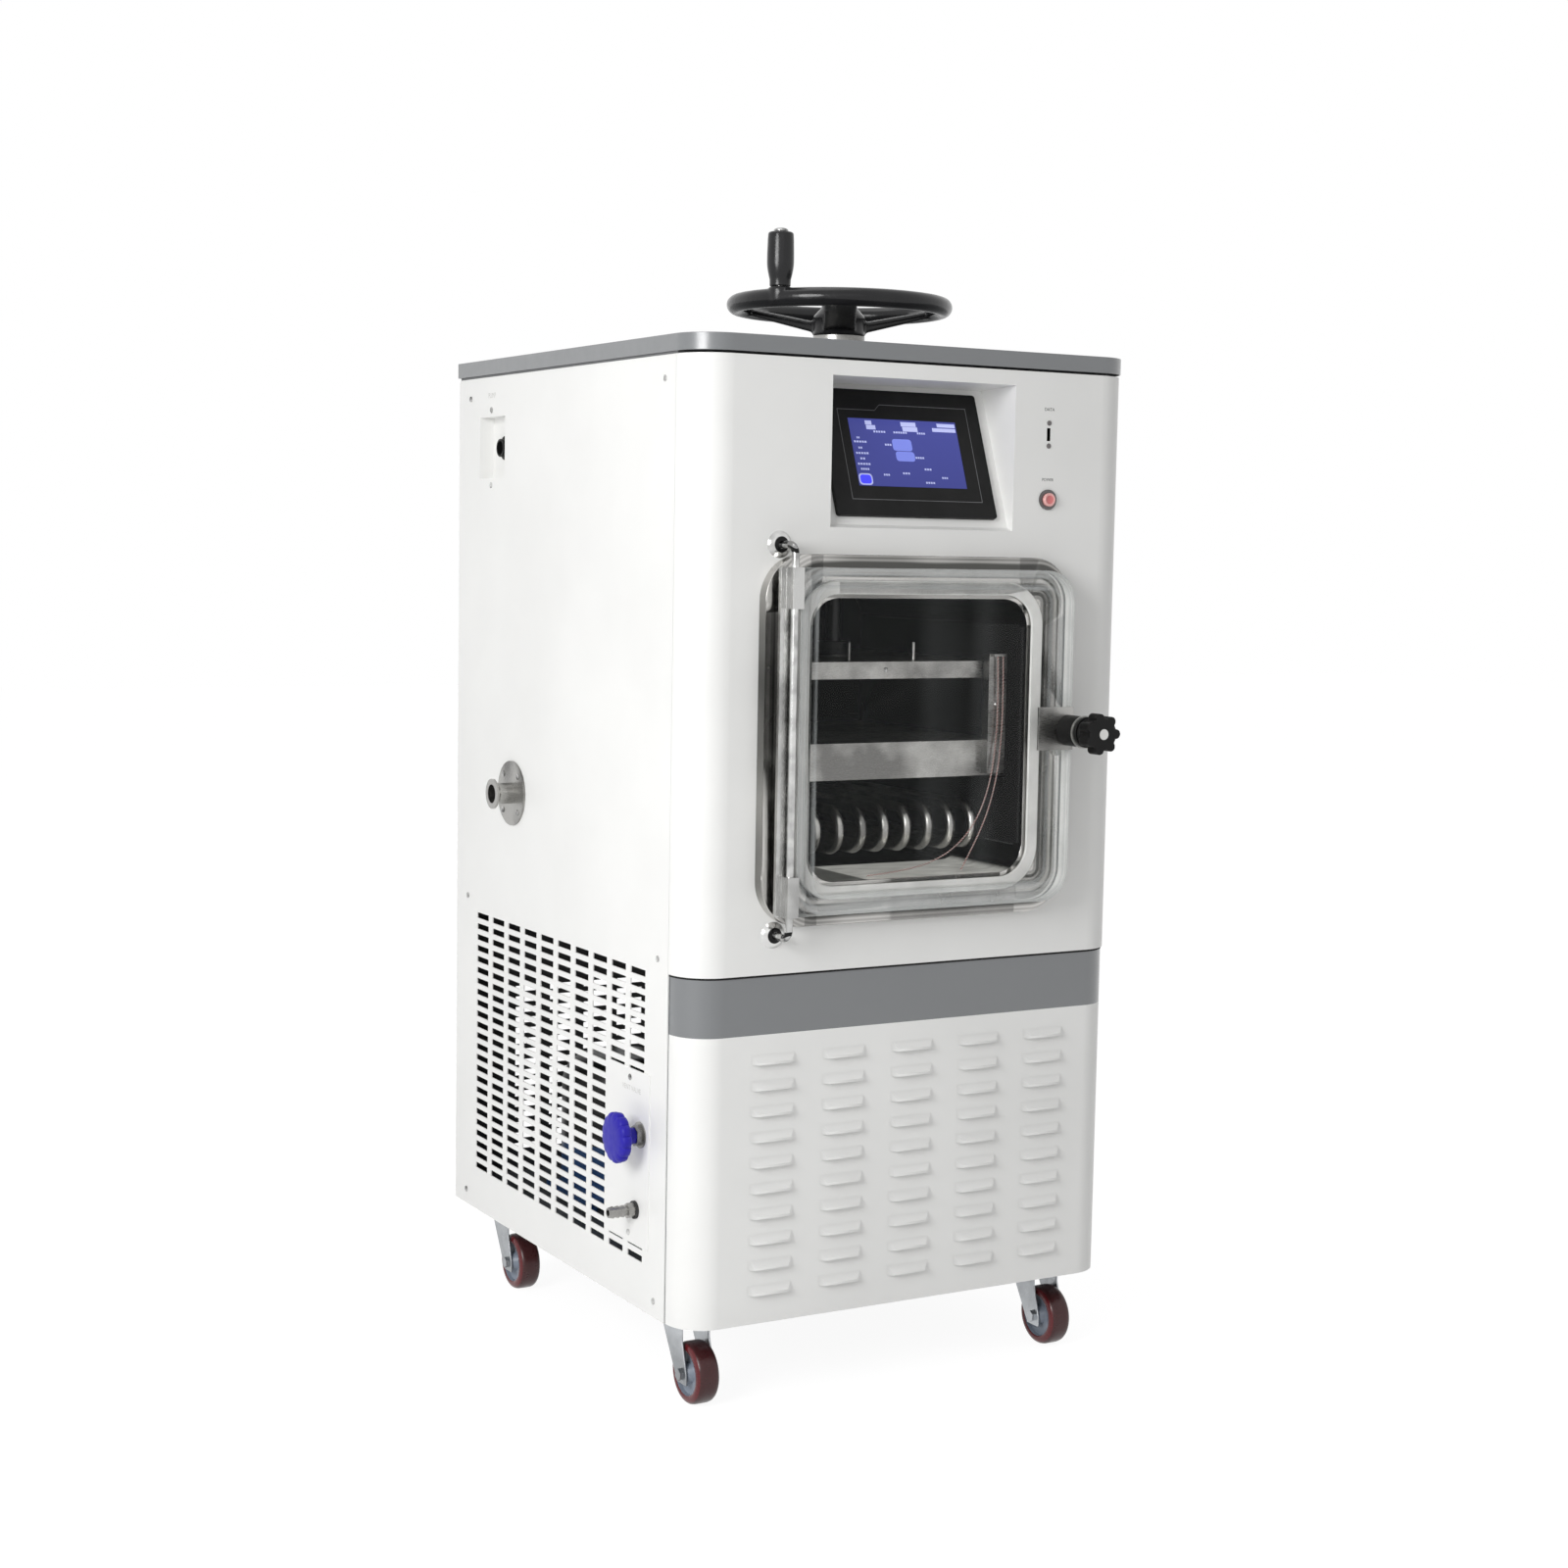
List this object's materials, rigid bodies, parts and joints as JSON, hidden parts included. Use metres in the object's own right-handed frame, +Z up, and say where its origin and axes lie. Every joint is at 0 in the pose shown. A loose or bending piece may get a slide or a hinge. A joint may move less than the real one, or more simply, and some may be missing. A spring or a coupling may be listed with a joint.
{
  "type": "freeze dryer",
  "caption": "Upright laboratory freeze dryer on swivel casters: clear hinged door, heated shelf under a handwheel-driven stoppering press, cold trap coil, tilted touch screen and louvred base.",
  "frame": {"origin": "on the floor, under the centre of the whole object's outline", "axes": "+Z up, -Y out through the door, +X to the right as seen from the front"},
  "size_m": [0.6626, 0.823, 1.4206],
  "materials": {
    "white_paint": "satin powder coat",
    "grey_paint": "satin powder coat",
    "frame_paint": "matt grey paint",
    "stainless": "brushed",
    "bright_steel": "bright",
    "zinc": "zinc plated",
    "black_gloss": "glossy",
    "black_matt": "satin",
    "blue_plastic": "glossy",
    "red_plastic": "glossy",
    "screen": "lit display",
    "acrylic": "clear",
    "gasket": "silicone",
    "grommet": "matt",
    "foam": "closed-cell foam",
    "brass": "bright",
    "blue_paint": "satin blue",
    "dark_paint": "satin black",
    "fins": "finned",
    "wheel": "polyurethane tread",
    "wire": "twisted insulated pair"
  },
  "bodies": {
    "cabinet": {"chassis": "frame_paint", "left_side_panel": "white_paint", "right_side_panel": "white_paint", "rear_panel": "white_paint", "power_inlet": "black_matt", "top_cover": "grey_paint", "front_upper_panel": "white_paint", "grey_band": "grey_paint", "front_lower_panel": "white_paint", "service_plate": "white_paint", "panel_screws": "bright_steel", "screen_housing": "black_matt", "screen_glass": "screen", "data_socket": "black_matt", "button_bezel": "bright_steel", "pump_socket": "black_matt", "vacuum_port": "stainless", "valve_body": "brass", "drain_barb": "stainless", "drain_grommet": "grommet", "vacuum_chamber": "stainless", "chamber_jacket": "foam", "door_gasket": "gasket", "hinge_rod": "bright_steel", "shelf": "stainless", "press_frame": "stainless", "probe_bracket": "stainless", "probe_wire_long": "wire", "probe_wire_short": "wire", "cold_trap_coil": "stainless", "compressor": "blue_paint", "condenser": "fins", "fan_motor": "dark_paint", "caster_plates": "zinc"},
    "door": {"door_panel": "acrylic", "hinge_strip": "stainless", "latch_bracket": "stainless", "latch_sleeve": "black_matt"},
    "latch": {"latch_shaft": "bright_steel", "star_knob": "black_matt"},
    "wheel": {"handwheel": "black_gloss", "handle_spindle": "bright_steel"},
    "grip": {"handle_grip": "black_matt"},
    "press": {"press_rod": "bright_steel", "press_plate": "stainless"},
    "button": {"button_cap": "red_plastic"},
    "valve": {"valve_knob": "blue_plastic"},
    "fan": {"cooling_fan": "black_matt"},
    "swivel_front_left": {"caster_fork_front_left": "zinc", "caster_axle_front_left": "zinc"},
    "roller_front_left": {"caster_wheel_front_left": "wheel"},
    "swivel_front_right": {"caster_fork_front_right": "zinc", "caster_axle_front_right": "zinc"},
    "roller_front_right": {"caster_wheel_front_right": "wheel"},
    "swivel_rear_left": {"caster_fork_rear_left": "zinc", "caster_axle_rear_left": "zinc"},
    "roller_rear_left": {"caster_wheel_rear_left": "wheel"},
    "swivel_rear_right": {"caster_fork_rear_right": "zinc", "caster_axle_rear_right": "zinc"},
    "roller_rear_right": {"caster_wheel_rear_right": "wheel"}
  },
  "joints": [
    {"name": "door_swing", "type": "hinge", "parent": "cabinet", "child": "door", "pos_m": [-0.17875, -0.3335, 0.808], "axis": [0, 0, 1], "range_deg": [-160, 0]},
    {"name": "latch_turn", "type": "hinge", "parent": "door", "child": "latch", "pos_m": [0.21125, -0.3555, 0.816], "axis": [0, -1, 0], "range_deg": [0, 90]},
    {"name": "handwheel_spin", "type": "hinge", "parent": "cabinet", "child": "wheel", "pos_m": [0.01125, -0.1015, 1.337], "axis": [0, 0, -1], "range_deg": [0, 3960]},
    {"name": "grip_spin", "type": "hinge", "parent": "wheel", "child": "grip", "pos_m": [-0.10566, -0.15602, 1.388], "axis": [0, 0, 1], "continuous": true},
    {"name": "press_slide", "type": "slide", "parent": "cabinet", "child": "press", "axis": [0, 0, -1], "range_m": [0, 0.0551]},
    {"name": "power_button", "type": "slide", "parent": "cabinet", "child": "button", "axis": [0, 1, 0], "range_m": [0, 0.002], "stiffness_N_per_m": 400, "springref_m": -0.002},
    {"name": "valve_turn", "type": "hinge", "parent": "cabinet", "child": "valve", "pos_m": [-0.32075, -0.1785, 0.324], "axis": [-1, 0, 0], "range_deg": [0, 720]},
    {"name": "fan_spin", "type": "hinge", "parent": "cabinet", "child": "fan", "pos_m": [0.01425, -0.1455, 0.298], "axis": [0, 1, 0], "continuous": true},
    {"name": "front_left_swivel", "type": "hinge", "parent": "cabinet", "child": "swivel_front_left", "pos_m": [-0.23975, -0.2075, 0.096], "axis": [0, 0, 1], "continuous": true},
    {"name": "front_left_roll", "type": "hinge", "parent": "swivel_front_left", "child": "roller_front_left", "pos_m": [-0.23975, -0.2325, 0.038], "axis": [1, 0, 0], "continuous": true},
    {"name": "front_right_swivel", "type": "hinge", "parent": "cabinet", "child": "swivel_front_right", "pos_m": [0.27825, -0.2075, 0.096], "axis": [0, 0, 1], "continuous": true},
    {"name": "front_right_roll", "type": "hinge", "parent": "swivel_front_right", "child": "roller_front_right", "pos_m": [0.27825, -0.2325, 0.038], "axis": [1, 0, 0], "continuous": true},
    {"name": "rear_left_swivel", "type": "hinge", "parent": "cabinet", "child": "swivel_rear_left", "pos_m": [-0.23975, 0.3195, 0.096], "axis": [0, 0, 1], "continuous": true},
    {"name": "rear_left_roll", "type": "hinge", "parent": "swivel_rear_left", "child": "roller_rear_left", "pos_m": [-0.23975, 0.2945, 0.038], "axis": [1, 0, 0], "continuous": true},
    {"name": "rear_right_swivel", "type": "hinge", "parent": "cabinet", "child": "swivel_rear_right", "pos_m": [0.27825, 0.3195, 0.096], "axis": [0, 0, 1], "continuous": true},
    {"name": "rear_right_roll", "type": "hinge", "parent": "swivel_rear_right", "child": "roller_rear_right", "pos_m": [0.27825, 0.2945, 0.038], "axis": [1, 0, 0], "continuous": true}
  ],
  "couplings": [
    {"joint": "press_slide", "follows": "handwheel_spin", "m_per_rad": 0.00079577}
  ]
}
